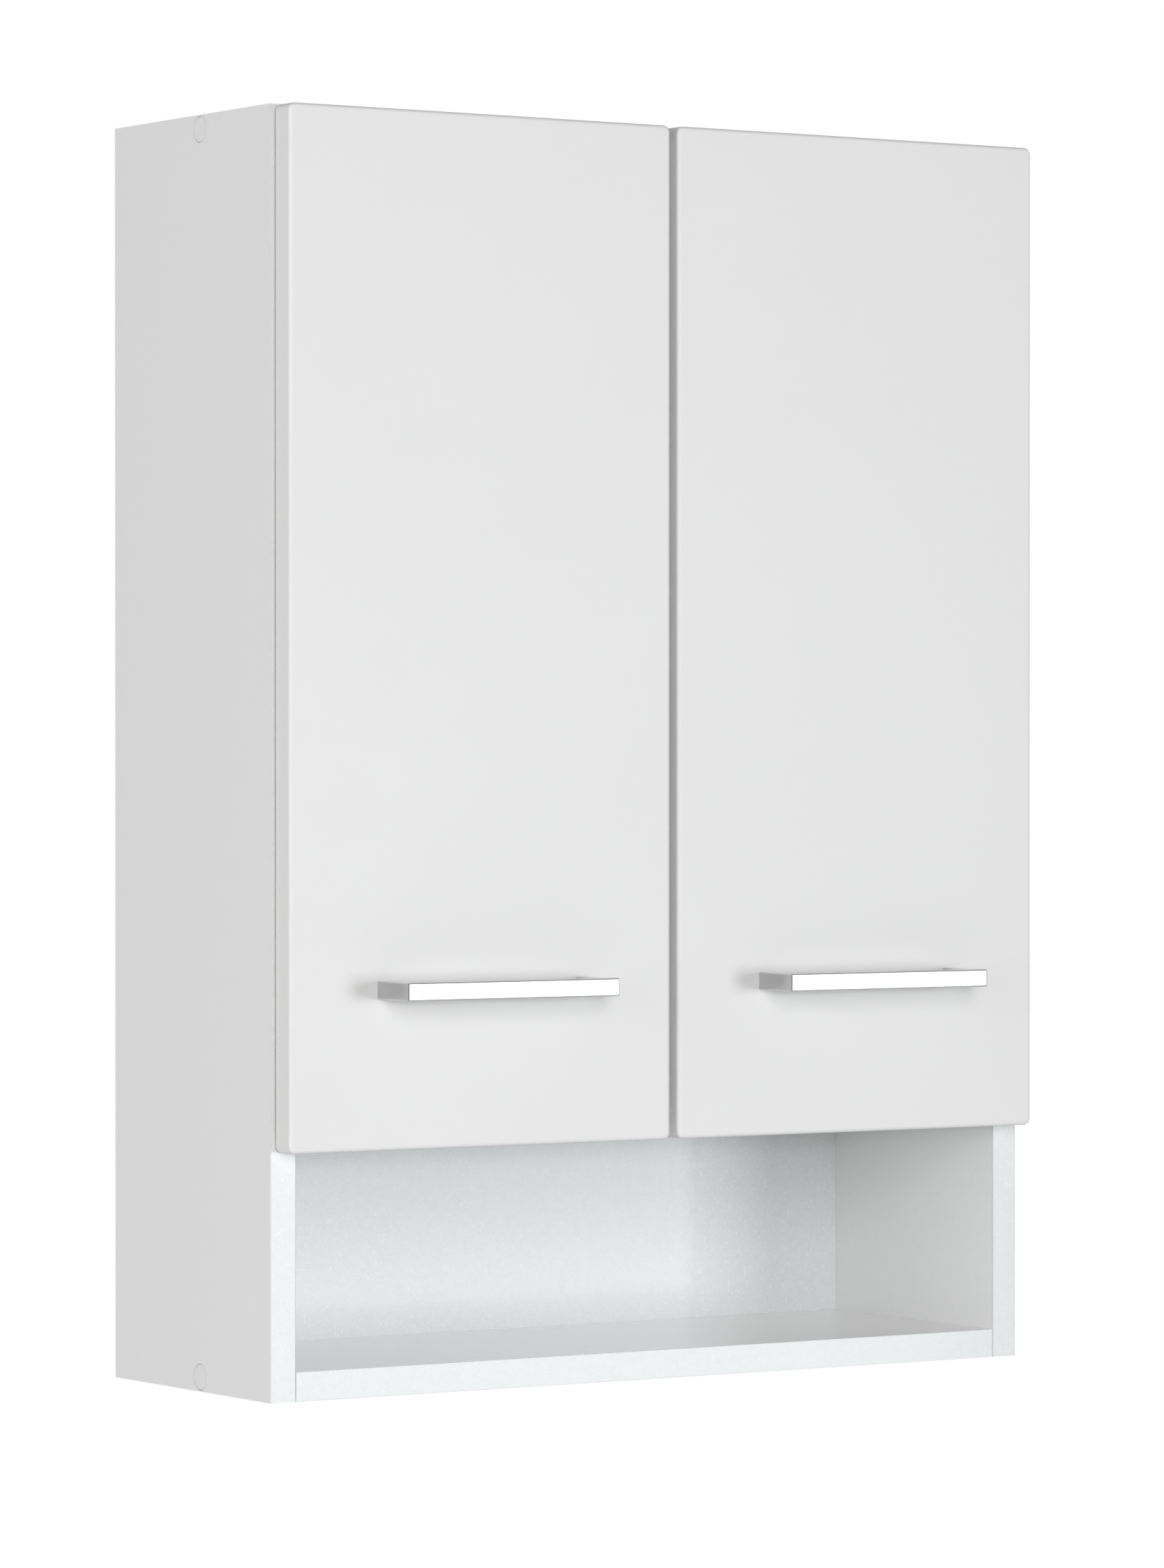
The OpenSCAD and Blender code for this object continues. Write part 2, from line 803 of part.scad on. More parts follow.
module hinge_arm_screws() {
    top = arm_offset + body_h;
    color("gray")
        for (which = [lower, upper], y = arm_screw_ys)
            at_hinge(which)
                difference() {
                    union() {
                        bar_x([panel_x + past + fit_play, y, 0], arm_screw_r, top - panel_x - past);
                        bar_x([top, y, 0], arm_head_r, arm_head_h);
                    }
                    translate([top + arm_head_h, y, 0])
                        rotate([0, 90, 0])
                            cross_recess(arm_head_r);
                }
}

// ---- doors ----

// Post at a door's corner, front face down: rounded at the front, bevelled at the rear
module door_corner() {
    core = door_corner_r - door_edge_r;
    rotate_extrude($fn = door_sides)
        polygon(concat(
            [[0, 0]],
            [for (a = [0 : door_round_step : 90])
                [core + door_edge_r * sin(a), door_edge_r * (1 - cos(a))]],
            [[door_corner_r, door_t - door_break], [door_corner_r - door_break, door_t], [0, door_t]]
        ));
}

module door() {
    color("white")
        difference() {
            hull()
                for (x = [door_corner_r, door_w - door_corner_r])
                    for (z = [door_corner_r, door_h - door_corner_r])
                        translate([door_x + x, door_front_y, door_z + z])
                            rotate([-90, 0, 0])
                                door_corner();
            for (which = [lower, upper])
                at_hinge(which) {
                    bar_y([cup_x, pivot_deep - cup_deep, 0], cup_r, cup_deep + past);
                    for (end = [-1, 1])
                        bar_y([ear_x, pivot_deep - wood_screw_in, end * ear_z],
                            wood_screw_r + fit_play, wood_screw_in + past);
                }
            for (end = [-1, 1])
                bar_y([handle_x + end * handle_span / 2, door_front_y - past, handle_z],
                    handle_screw_r + fit_play, door_t + 2 * past);
        }
}

module cup_screws() {
    color("gray")
        for (which = [lower, upper], end = [-1, 1])
            at_hinge(which)
                translate([ear_x, pivot_deep + flange_t, end * ear_z])
                    rotate([-90, 0, 0])
                        wood_screw(flange_t);
}

module door_buffers() {
    color("lightgray")
        for (z = buffer_zs)
            bar_y([door_x + door_w - buffer_in, door_rear_y, z], buffer_r, buffer_t);
}

// Handle seen from above: a bar on two legs, its front corners rounded
module handle_outline() {
    half = (handle_span + leg_w) / 2;
    difference() {
        union() {
            translate([-half, -handle_out + handle_r])
                square([2 * half, handle_out - handle_r]);
            translate([handle_r - half, -handle_out])
                square([2 * (half - handle_r), handle_out]);
            for (end = [-1, 1])
                translate([end * (half - handle_r), handle_r - handle_out])
                    circle(handle_r);
        }
        translate([leg_w - half, bar_t - handle_out])
            square([2 * (half - leg_w), handle_out]);
    }
}

module handle() {
    color("silver")
        difference() {
            translate([handle_x, door_front_y, handle_z - handle_h / 2])
                linear_extrude(handle_h)
                    handle_outline();
            for (end = [-1, 1])
                translate([end * handle_span / 2, 0, 0])
                    bar_y([handle_x, door_front_y - handle_screw_in - fit_play, handle_z],
                        handle_screw_r, handle_screw_in + past);
        }
}

module handle_screws() {
    color("gray")
        for (end = [-1, 1])
            translate([handle_x + end * handle_span / 2, door_rear_y, handle_z])
                rotate([-90, 0, 0])
                    difference() {
                        union() {
                            cylinder(r = handle_screw_head_r, h = handle_screw_head_h);
                            translate([0, 0, -door_t - handle_screw_in])
                                cylinder(r = handle_screw_r - fit_play, h = door_t + handle_screw_in);
                        }
                        translate([0, 0, handle_screw_head_h])
                            cross_recess(handle_screw_head_r);
                    }
}

// ---- the nodes ----

in_place(LEFT) side_panel();  // left_side_panel
in_place(RIGHT) side_panel();  // right_side_panel
in_place(LEFT) top_panel();
in_place(LEFT) bottom_panel();
in_place(LEFT) fixed_shelf();
in_place(LEFT) loose_shelf(lower);  // lower_shelf
in_place(LEFT) loose_shelf(upper);  // upper_shelf
in_place(LEFT) back_panel();
both_sides() shelf_supports();
both_sides() board_dowels();
both_sides() board_screws();
both_sides() cover_caps();
both_sides() cam_locks();
both_sides() cam_bolts();
in_place(LEFT) hanger();  // left_hanger
in_place(RIGHT) hanger();  // right_hanger
in_place(LEFT) hanger_cover();  // left_hanger_cover
in_place(RIGHT) hanger_cover();  // right_hanger_cover
in_place(LEFT) hanger_hook();  // left_hanger_hook
in_place(RIGHT) hanger_hook();  // right_hanger_hook
both_sides() hanger_screws();
in_place(LEFT) wall_plate();  // left_wall_plate
in_place(RIGHT) wall_plate();  // right_wall_plate
in_place(LEFT) hinge_arm(lower);  // lower_left_hinge_arm
in_place(LEFT) hinge_arm(upper);  // upper_left_hinge_arm
in_place(RIGHT) hinge_arm(lower);  // lower_right_hinge_arm
in_place(RIGHT) hinge_arm(upper);  // upper_right_hinge_arm
in_place(LEFT) mounting_plate(lower);  // lower_left_mounting_plate
in_place(LEFT) mounting_plate(upper);  // upper_left_mounting_plate
in_place(RIGHT) mounting_plate(lower);  // lower_right_mounting_plate
in_place(RIGHT) mounting_plate(upper);  // upper_right_mounting_plate
both_sides() mounting_plate_screws();
both_sides() hinge_arm_screws();
in_place(LEFT) door();  // left_door
in_place(LEFT) handle();  // left_handle
in_place(LEFT) handle_screws();  // left_handle_screws
in_place(LEFT) hinge_cup(lower);  // lower_left_hinge_cup
in_place(LEFT) hinge_cup(upper);  // upper_left_hinge_cup
in_place(LEFT) hinge_pins();  // left_hinge_pins
in_place(LEFT) cup_screws();  // left_cup_screws
in_place(LEFT) door_buffers();  // left_door_buffers
in_place(RIGHT) door();  // right_door
in_place(RIGHT) handle();  // right_handle
in_place(RIGHT) handle_screws();  // right_handle_screws
in_place(RIGHT) hinge_cup(lower);  // lower_right_hinge_cup
in_place(RIGHT) hinge_cup(upper);  // upper_right_hinge_cup
in_place(RIGHT) hinge_pins();  // right_hinge_pins
in_place(RIGHT) cup_screws();  // right_cup_screws
in_place(RIGHT) door_buffers();  // right_door_buffers
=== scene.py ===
"""Hanging wall cabinet: finishes, handles, soft arrises and studio around the CAD frame."""
import math
from typing import NamedTuple

import bmesh
import bpy
from bpy.props import FloatProperty, FloatVectorProperty, IntProperty, PointerProperty
from bpy.types import Operator, Panel, PropertyGroup
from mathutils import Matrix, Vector


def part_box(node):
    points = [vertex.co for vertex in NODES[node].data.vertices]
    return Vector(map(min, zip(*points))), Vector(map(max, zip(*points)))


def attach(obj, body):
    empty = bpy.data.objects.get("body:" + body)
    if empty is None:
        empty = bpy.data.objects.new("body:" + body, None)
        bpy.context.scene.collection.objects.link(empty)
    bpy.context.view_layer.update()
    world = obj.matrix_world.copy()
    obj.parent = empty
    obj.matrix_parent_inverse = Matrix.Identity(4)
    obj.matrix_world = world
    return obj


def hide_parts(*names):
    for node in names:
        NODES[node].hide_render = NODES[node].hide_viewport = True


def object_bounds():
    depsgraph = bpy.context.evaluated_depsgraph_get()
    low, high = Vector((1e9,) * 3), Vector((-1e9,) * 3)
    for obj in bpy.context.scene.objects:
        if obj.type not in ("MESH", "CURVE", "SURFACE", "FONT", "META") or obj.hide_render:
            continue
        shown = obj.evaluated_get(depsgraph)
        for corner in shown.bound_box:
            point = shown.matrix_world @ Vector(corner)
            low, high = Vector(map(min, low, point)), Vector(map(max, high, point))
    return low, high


bl_info = {
    "name": "Hanging wall cabinet",
    "version": (1, 0, 0),
    "blender": (4, 5, 0),
    "location": "3D View > Sidebar > Cabinet",
    "description": "Boards, doors, handles, fittings and studio of a two-door wall cabinet",
    "category": "Object",
}

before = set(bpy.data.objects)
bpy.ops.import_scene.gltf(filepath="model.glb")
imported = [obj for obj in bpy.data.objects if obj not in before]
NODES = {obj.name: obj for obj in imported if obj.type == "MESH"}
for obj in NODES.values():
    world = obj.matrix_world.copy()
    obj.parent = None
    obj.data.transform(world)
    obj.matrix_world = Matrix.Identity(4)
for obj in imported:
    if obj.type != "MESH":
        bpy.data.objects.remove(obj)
CAD_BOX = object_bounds()
SIDES = ("left", "right")
# How near a face lies to a plane of its board's box to count as being on it
ON_PLANE = 2e-5
# Smallest part of a normal along an axis for a face square to it
SQUARE_ON = 0.999
# Smallest part of a normal along an axis for a face that is no bevel
FACING = 0.99
# Distance within which two points are the same one
SAME_POINT = 1e-6
# How far in from a door's outline its rounded, foil-wrapped arrises reach
DOOR_WRAP = 0.003
# Widest angle between faces that lie in one plane, and smallest one that makes an arris
LEVEL_ANGLE = math.radians(0.5)
ARRIS_ANGLE = math.radians(40)
# Shape of a bevel that follows a circle
ROUND = 0.5
WHITE = (1.0, 1.0, 1.0, 1.0)
# Sides of the studio's round floor, size of its clouds and their tones
FLOOR_SIDES = 96
FLOOR_CLOUD = 0.05
FLOOR_TONES = (0.98, 1.0)
# Where the floor starts and ends fading into the surround, as shares of its radius
FLOOR_RIM = (0.3, 0.97)
# How much of the floor's light is its own glow, in its middle and at its rim
FLOOR_GLOW = (0.55, 1.0)


class SoftBox(NamedTuple):
    """Lamp of the studio: sizes in metres, angles in degrees about the cabinet's middle."""
    name: str
    turn: float
    rise: float
    width: float
    height: float
    watts: float
    cool: bool = False
    mirrored: bool = False


SOFT_BOXES = (
    SoftBox("left_key", -22.5, 2.0, 1.6, 0.8, 100),
    SoftBox("left_high", -22.5, 13.5, 1.6, 2.0, 101),
    SoftBox("left_fill", -65, 5.0, 3.6, 3.6, 60),
    SoftBox("left_side", -92, 5.0, 3.6, 3.6, 151),
    SoftBox("right_key", 26.0, -2.6, 1.6, 1.6, 112.5, cool=True),
    SoftBox("right_mirrored", 25.7, -2.0, 2.67, 2.4, 50, cool=True, mirrored=True),
    SoftBox("rear_fill", 130, 8.0, 3.6, 3.6, 110),
)


# ---- sizes and colours ----

def length(name, description, default, low, high):
    return FloatProperty(
        name=name, description=description, default=default, min=low, max=high,
        unit="LENGTH", subtype="DISTANCE", precision=5)


def share(name, description, default, low=0.0, high=1.0):
    return FloatProperty(
        name=name, description=description, default=default, min=low, max=high,
        subtype="FACTOR")


def colour(name, description, default):
    return FloatVectorProperty(
        name=name, description=description, default=default, size=3, min=0.0, max=1.0,
        subtype="COLOR")


def turn(name, description, degrees):
    return FloatProperty(
        name=name, description=description, default=math.radians(degrees),
        unit="ROTATION", subtype="ANGLE")


class CABINET_PG_boards(PropertyGroup):
    """Colours and texture of the boards"""
    pearl: colour("Pearl melamine", "Inside of the carcass", (0.845, 0.845, 0.845))
    # painted light: the up-facing tops inside get a brighter, warmer copy of the pearl
    # melamine, standing in for light from above
    level: colour("Level melamine", "Tops of the level boards inside", (0.985, 0.980, 0.965))
    edging_tone: colour("Edging tone", "Strips on the front edges", (0.824, 0.836, 0.840))
    lacquer: colour("Back lacquer", "Front of the back panel", (0.727, 0.742, 0.750))
    outer: colour("Outer melamine", "Outer faces of the carcass", (0.835, 0.835, 0.835))
    foil: colour("Door foil", "Front and edges of the doors", (0.804, 0.793, 0.790))
    door_back: colour("Door lining", "Rear face of the doors", (0.80, 0.80, 0.795))
    chips: colour("Chipboard", "Raw chipboard in bores and rear edges", (0.50, 0.37, 0.23))
    fibre: colour("Fibreboard", "Raw fibreboard of the doors' bores", (0.42, 0.30, 0.19))
    hardboard: colour("Hardboard", "Rear face of the back panel", (0.30, 0.19, 0.11))
    coarse_fibre: length("Coarse fibre", "Width of the hardboard's fibres",
                         0.0016, 0.0004, 0.004)
    fine_fibre: length("Fine fibre", "Width of the doors' fibres", 0.0006, 0.0002, 0.004)
    pearl_size: length("Pearl size", "Size of the melamine's bright flecks",
                       0.0017, 0.0004, 0.005)
    pearl_depth: share("Pearl strength", "How much the flecks stand out inside", 0.016)
    edging_depth: share("Edging strength", "How much the flecks stand out on front edges",
                        0.03)
    back_depth: share("Back strength", "How much the flecks stand out at the back", 0.05)
    outer_depth: share("Outer strength", "How much the flecks stand out outside", 0.003)
    skin: length("Skin", "Thickness of the melamine on the side panels' outer faces",
                 0.0006, 0.0002, 0.001)
    edging: length("Edging", "Thickness of the edging strip on front edges",
                   0.001, 0.0004, 0.003)


class CABINET_PG_fittings(PropertyGroup):
    """Colours and arrises of the metal and plastic pieces"""
    chrome: colour("Chrome", "Polished chrome of the handles", (0.58, 0.583, 0.59))
    nickel: colour("Nickel", "Satin nickel of the hinges", (0.62, 0.60, 0.56))
    zinc: colour("Zinc", "Zinc plate of screws and plates", (0.60, 0.612, 0.63))
    plastic: colour("Plastic", "White plastic of the hangers", (0.84, 0.84, 0.83))
    cap: colour("Cap", "Cover caps in the side panels", (0.82, 0.82, 0.815))
    # Tone of the cap's rim faces as a share of the cap's: painted shade for the gap round the
    # cap
    cap_rim_shade: share("Cap joint", "Tone of the joint round a cap, as a share of the cap's",
                     0.8)
    buffer: colour("Buffer", "Clear buffers on the doors", (0.84, 0.86, 0.86))
    beech: colour("Beech", "Dowels", (0.58, 0.40, 0.23))
    arris: length("Arris", "Radius on the edges of pressed and moulded pieces",
                  0.0004, 0.0001, 0.001)
    screw_arris: length("Screw arris", "Radius on the edges of screws and pins",
                        0.00015, 0.00005, 0.0003)
    arris_steps: IntProperty(
        name="Arris steps", description="Segments of each rounded arris", default=2,
        min=1, max=6)


class CABINET_PG_handles(PropertyGroup):
    """Sizes of the two handles"""
    bar: length("Bar", "Thickness of a handle's bar, front to back", 0.008, 0.005, 0.012)
    leg: length("Leg", "Width of a handle's leg", 0.008, 0.006, 0.014)
    arris: length("Arris", "Radius on the edges of a handle", 0.0009, 0.0002, 0.002)
    steps: IntProperty(
        name="Arris steps", description="Segments of each rounded arris", default=4,
        min=1, max=8)


class CABINET_PG_studio(PropertyGroup):
    """Camera, lamps and floor"""
    lens: FloatProperty(
        name="Lens", description="Focal length on a 36 mm frame", default=147.88,
        min=10.0, max=400.0, unit="CAMERA")
    stand: FloatVectorProperty(
        name="Camera place", description="Where the camera stands", size=3,
        default=(-1.99897, -3.17069, -0.25516), unit="LENGTH", subtype="TRANSLATION")
    pan: turn("Pan", "Turn of the camera to the right", 33.025)
    dip: turn("Dip", "Tilt of the camera downwards", 0.381)
    ambient: share("Ambient", "Strength of the light from all around", 0.08)
    mirrored: share("Mirrored", "Strength of the surround in reflections", 0.5)
    brightness: share("Brightness", "Factor on the power of every soft box", 1.0, 0.0, 4.0)
    cool: colour("Cool light", "Colour of the soft boxes on the right", (0.94, 0.983, 1.0))
    lamp_reach: length("Lamp distance", "Distance of the lamps", 6.4, 1.0, 12.0)
    floor_drop: length("Floor drop", "Height of the cabinet above the floor",
                       1.3, 0.3, 3.0)
    floor_size: length("Floor size", "Radius of the floor", 3.0, 1.0, 10.0)
    floor: colour("Floor", "Colour of the floor", (0.86, 0.86, 0.85))


# ---- shader graphs ----

def scaled(tone, factor):
    return tuple(min(1.0, part * factor) for part in tone)


class Signal:
    """Output of a shader node, to reckon with as with a number."""

    def __init__(self, graph, socket):
        self.graph = graph
        self.socket = socket

    def maths(self, operation, *terms):
        return self.graph.node(
            "ShaderNodeMath", {"operation": operation}, dict(enumerate(terms)))

    def __add__(self, other):
        return self.maths("ADD", self, other)

    def __sub__(self, other):
        return self.maths("SUBTRACT", self, other)

    def __rsub__(self, other):
        return self.maths("SUBTRACT", other, self)

    def __mul__(self, other):
        return self.maths("MULTIPLY", self, other)

    def __abs__(self):
        return self.maths("ABSOLUTE", self)

    def most(self, other):
        return self.maths("MAXIMUM", self, other)

    __radd__ = __add__
    __rmul__ = __mul__


class Graph:
    """Node tree of one finish or of the world."""

    def __init__(self, tree):
        self.tree = tree
        tree.nodes.clear()

    def node(self, kind, settings=None, inputs=None, output=0):
        made = self.tree.nodes.new(kind)
        for name, value in (settings or {}).items():
            setattr(made, name, value)
        for key, value in (inputs or {}).items():
            if isinstance(value, Signal):
                self.tree.links.new(value.socket, made.inputs[key])
            else:
                made.inputs[key].default_value = value
        return Signal(self, made.outputs[output]) if made.outputs else None

    def place(self, stretch=None):
        """Place on the piece in metres, stretched along X, Y and Z."""
        spot = self.node("ShaderNodeTexCoord", output="Object")
        if stretch is None:
            return spot
        return self.node(
            "ShaderNodeVectorMath", {"operation": "MULTIPLY"}, {0: spot, 1: stretch})

    def axis(self, which):
        return self.node("ShaderNodeSeparateXYZ", inputs={0: self.place()}, output=which)

    def noise(self, size, detail=2.0, stretch=None):
        """Soft noise from 0 to 1 whose features are about size across."""
        return self.node("ShaderNodeTexNoise", inputs={
            "Vector": self.place(stretch), "Scale": 1.0 / size, "Detail": detail})

    def cells(self, size, stretch=None, output="Distance"):
        return self.node("ShaderNodeTexVoronoi", inputs={
            "Vector": self.place(stretch), "Scale": 1.0 / size}, output=output)

    def ramp(self, value, low, high):
        """0 below low, 1 above high, and a smooth rise between."""
        return self.node(
            "ShaderNodeMapRange", {"interpolation_type": "SMOOTHSTEP", "clamp": True},
            {"Value": value, "From Min": low, "From Max": high})

    def mix(self, factor, low, high, blend="MIX"):
        """Colour between low and high."""
        low, high = (
            tone if isinstance(tone, Signal) else (*tone, 1.0) for tone in (low, high))
        return self.node(
            "ShaderNodeMix", {"data_type": "RGBA", "blend_type": blend},
            {0: factor, 6: low, 7: high}, output=2)

    def shades(self, factor, tone, dark, light):
        """Tone times dark where factor is 0, and times light where it is 1."""
        return self.mix(factor, scaled(tone, dark), scaled(tone, light))

    def bump(self, height, depth, strength=1.0):
        return self.node("ShaderNodeBump", inputs={
            "Height": height, "Distance": depth, "Strength": strength})


def between(factor, low, high):
    """Value from low, where factor is 0, to high, where it is 1."""
    return factor * (high - low) + low


def finish(name, **sockets):
    """Material whose Principled shader takes the given sockets."""
    material = bpy.data.materials.new(name)
    material.use_nodes = True
    graph = Graph(material.node_tree)
    values = {
        key.replace("_", " "): value(graph) if callable(value) else value
        for key, value in sockets.items()
    }
    shader = graph.node("ShaderNodeBsdfPrincipled", inputs=values)
    graph.node("ShaderNodeOutputMaterial", inputs={"Surface": shader})
    return material


# ---- finishes ----
# Sizes, widths and depths are in metres; pairs are the two ends of a range.

# Flecks of the melamine, in multiples of their size
STROKE_SPAN = 1.9
BREAK_SPAN = 1.1
MOTTLE_SPAN = 3
SHEEN_SPAN = 6
STROKE_RELIEF = 9
# How far the noise strays from its middle along a stroke, and where strokes break off
STROKE_REACH = 0.08
BREAKS = (0.45, 0.65)
MELAMINE_ROUGH = (0.07, 0.10)

# Seam at the end of an edging strip: edge of the line and its tone
SEAM_EDGE = (0.00005, 0.00015)
SEAM_TONE = 0.9
# Joint between two boards: edge of the line and its tone
JOINT_EDGE = (0.0006, 0.0004)
JOINT_TONE = 0.72
# Painted shade along the outer arris of the front edges, dimming its highlight: edge of the
# strip and its tone
ARRIS_SHADE_EDGE = (0.0009, 0.0006)
ARRIS_SHADE_TONE = 0.86


def fleck_strokes(graph, size):
    """Short curved strokes: broken contour lines of a soft noise."""
    off_middle = abs(graph.noise(STROKE_SPAN * size, 1.0) - 0.5)
    contour = graph.ramp(off_middle, STROKE_REACH, 0.0)
    return contour * graph.ramp(graph.noise(BREAK_SPAN * size, 1.0), *BREAKS)


def melamine(name, tone, depth, size, marks=None):
    """Melamine with fine bright flecks; marks draws seams over its tint."""
    def base(graph):
        mottle = graph.noise(MOTTLE_SPAN * size, 4.0)
        plain = graph.shades(mottle, tone, 1 - depth, 1 + depth)
        tint = graph.mix(fleck_strokes(graph, size), plain, scaled(tone, 1 + 2 * depth))
        return marks(graph, tint) if marks else tint

    def rough(graph):
        return between(graph.noise(SHEEN_SPAN * size), *MELAMINE_ROUGH)

    def relief(graph):
        return graph.bump(fleck_strokes(graph, size), STROKE_RELIEF * size * depth * depth)

    return finish(name, Base_Color=base, Roughness=rough, Normal=relief, IOR=1.5)


def glue_seam(tone, at):
    """Mark of a thin seam where the edging strip ends, at a given depth."""
    def mark(graph, tint):
        off = abs(graph.axis("Y") - at)
        return graph.mix(graph.ramp(off, *SEAM_EDGE), scaled(tone, SEAM_TONE), tint)
    return mark


def joints_and_arris_shade(tone, joint_at, side_at):
    """Marks of the joints between boards, and painted shade along the outer arrises."""
    def mark(graph, tint):
        place = abs(graph.axis("X"))
        joint = graph.ramp(abs(place - joint_at), *JOINT_EDGE)
        # painted shade: the last strip before the outer face is darkened where its arris
        # catches the light
        corner = graph.ramp(place, *(side_at - inset for inset in ARRIS_SHADE_EDGE))
        arris_shaded = graph.mix(corner, tint, scaled(tone, ARRIS_SHADE_TONE))
        return graph.mix(joint, arris_shaded, scaled(tone, JOINT_TONE))
    return mark


def foil(name, tone, cloud=0.12, cloud_depth=0.012, patch=0.03, grain=0.0008,
         gloss=(0.26, 0.32), wave=0.009, ripple=0.0011, ripple_share=0.06,
         relief_depth=0.00007):
    """Smooth satin foil, with the faint waviness of a wrapped board."""
    def base(graph):
        return graph.shades(graph.noise(cloud, 3.0), tone, 1 - cloud_depth, 1 + cloud_depth)

    def rough(graph):
        low, high = gloss
        return between(graph.noise(patch, 3.0), low, high) + graph.noise(grain) * (high - low)

    def relief(graph):
        waves = graph.noise(wave) + graph.noise(ripple) * ripple_share
        return graph.bump(waves, relief_depth, 0.6)

    return finish(name, Base_Color=base, Roughness=rough, Normal=relief, IOR=1.48)


def chipboard(name, tone, skin_tone, skin_at, chip=0.0022, flat=(1.0, 1.0, 1.9),
              patch=0.0035, tones=(0.6, 1.5), chip_share=0.6, skin_blend=0.0001,
              dust=0.0007, relief_depth=0.0003):
    """Pressed wood chips in glue, under a skin of melamine beyond skin_at on either side."""
    def base(graph):
        chips = graph.cells(chip, flat, "Color")
        pale = graph.shades(graph.noise(patch, 4.0), tone, *tones)
        raw = graph.mix(chip_share, pale, chips, "SOFT_LIGHT")
        skin = graph.ramp(abs(graph.axis("X")), skin_at, skin_at + skin_blend)
        return graph.mix(skin, raw, skin_tone)

    def relief(graph):
        return graph.bump(graph.cells(chip, flat) + graph.noise(dust), relief_depth)

    return finish(name, Base_Color=base, Roughness=0.85, Normal=relief)


def fibreboard(name, tone, fibre, spot=0.006, spots=(0.35, 0.7), spot_share=0.3,
               tones=(0.62, 1.4), gloss=(0.62, 0.82), relief_depth=0.0002):
    """Felted fibres, for the doors' bores and the rear of the back panel."""
    lying = ((1.0, 1.0, 3.5), (3.5, 1.0, 1.0))

    def felt(graph):
        first, second = (graph.noise(fibre, 4.0, stretch) for stretch in lying)
        return first * 0.5 + second * 0.5

    def base(graph):
        spotted = graph.ramp(graph.noise(spot, 4.0), *spots)
        mixed = felt(graph) * (1 - spot_share) + spotted * spot_share
        return graph.shades(mixed, tone, *tones)

    def rough(graph):
        return between(felt(graph), *gloss)

    def relief(graph):
        return graph.bump(felt(graph), relief_depth)

    return finish(name, Base_Color=base, Roughness=rough, Normal=relief)


def beech(name, tone, grain=0.0012, tones=(0.72, 1.25), pore=0.0006, relief_depth=0.0001):
    """Turned beech whose grain runs along the dowel."""
    def base(graph):
        return graph.shades(graph.noise(grain, 5.0, (0.08, 1.0, 1.0)), tone, *tones)

    def relief(graph):
        return graph.bump(graph.noise(pore, 3.0, (0.06, 1.0, 1.0)), relief_depth)

    return finish(name, Base_Color=base, Roughness=0.6, Normal=relief)


def chrome(name, tone, cloud=0.02, cloud_depth=0.03, wipe=0.004, wiped=(0.45, 0.8),
           gloss=(0.04, 0.09)):
    """Polished plate with faint wipe marks."""
    def base(graph):
        return graph.shades(graph.noise(cloud, 3.0), tone, 1 - cloud_depth, 1 + cloud_depth)

    def rough(graph):
        wipes = graph.noise(wipe, 4.0, (0.15, 1.0, 1.0))
        return between(graph.ramp(wipes, *wiped), *gloss)

    return finish(name, Base_Color=base, Metallic=1.0, Roughness=rough)


def satin_nickel(name, tone, stroke=0.0009, tones=(0.85, 1.12), gloss=(0.16, 0.32),
                 patch=0.01, patch_share=0.08, relief_depth=0.00004):
    """Nickel plate over pressed steel, drawn along the piece's depth."""
    def strokes(graph):
        return graph.noise(stroke, 4.0, (1.0, 0.05, 1.0))

    def base(graph):
        return graph.shades(strokes(graph), tone, *tones)

    def rough(graph):
        return between(strokes(graph), *gloss) + graph.noise(patch) * patch_share

    def relief(graph):
        return graph.bump(strokes(graph), relief_depth, 0.6)

    return finish(name, Base_Color=base, Metallic=1.0, Roughness=rough, Normal=relief)


def zinc_plate(name, tone, cold=(0.93, 1.0, 1.05), warm=(1.06, 1.02, 0.88), bloom=0.006,
               blooms=(0.4, 0.75), spangle=0.0012, gloss=(0.2, 0.42), grain=0.0008,
               relief_depth=0.00004):
    """Bright zinc plate with a faint blue and yellow bloom."""
    def base(graph):
        cast = (
            tuple(min(1.0, part * factor) for part, factor in zip(tone, tints))
            for tints in (cold, warm)
        )
        return graph.mix(graph.ramp(graph.noise(bloom, 3.0), *blooms), *cast)

    def rough(graph):
        return between(graph.noise(spangle, 4.0), *gloss)

    def relief(graph):
        return graph.bump(graph.noise(grain, 3.0), relief_depth, 0.6)

    return finish(name, Base_Color=base, Metallic=1.0, Roughness=rough, Normal=relief)


def moulded_plastic(name, tone, cloud=0.008, tones=(0.975, 1.02), sheen=0.0009,
                    gloss=(0.34, 0.5), grain=0.0005, relief_depth=0.00004):
    """White plastic with the fine grain of an eroded mould."""
    def base(graph):
        return graph.shades(graph.noise(cloud, 3.0), tone, *tones)

    def rough(graph):
        return between(graph.noise(sheen), *gloss)

    def relief(graph):
        return graph.bump(graph.noise(grain), relief_depth, 0.6)

    return finish(name, Base_Color=base, Roughness=rough, Normal=relief, IOR=1.5)


def soft_buffer(name, tone, cloud=0.003, tones=(0.93, 1.07), smear=0.002,
                gloss=(0.12, 0.27)):
    """Clear soft plastic dot, a little clouded."""
    def base(graph):
        return graph.shades(graph.noise(cloud, 3.0), tone, *tones)

    def rough(graph):
        return between(graph.noise(smear), *gloss)

    return finish(name, Base_Color=base, Roughness=rough, Transmission_Weight=0.55, IOR=1.49)


# ---- faces of the boards ----

def on_box_plane(polygon, low, high):
    """Axis and end (0 low, 1 high) of the box plane that a face lies on, or None."""
    for axis in range(3):
        if abs(polygon.normal[axis]) < SQUARE_ON:
            continue
        for end, corner in enumerate((low, high)):
            outward = polygon.normal[axis] * (2 * end - 1)
            if outward > 0 and abs(polygon.center[axis] - corner[axis]) < ON_PLANE:
                return axis, end
    return None


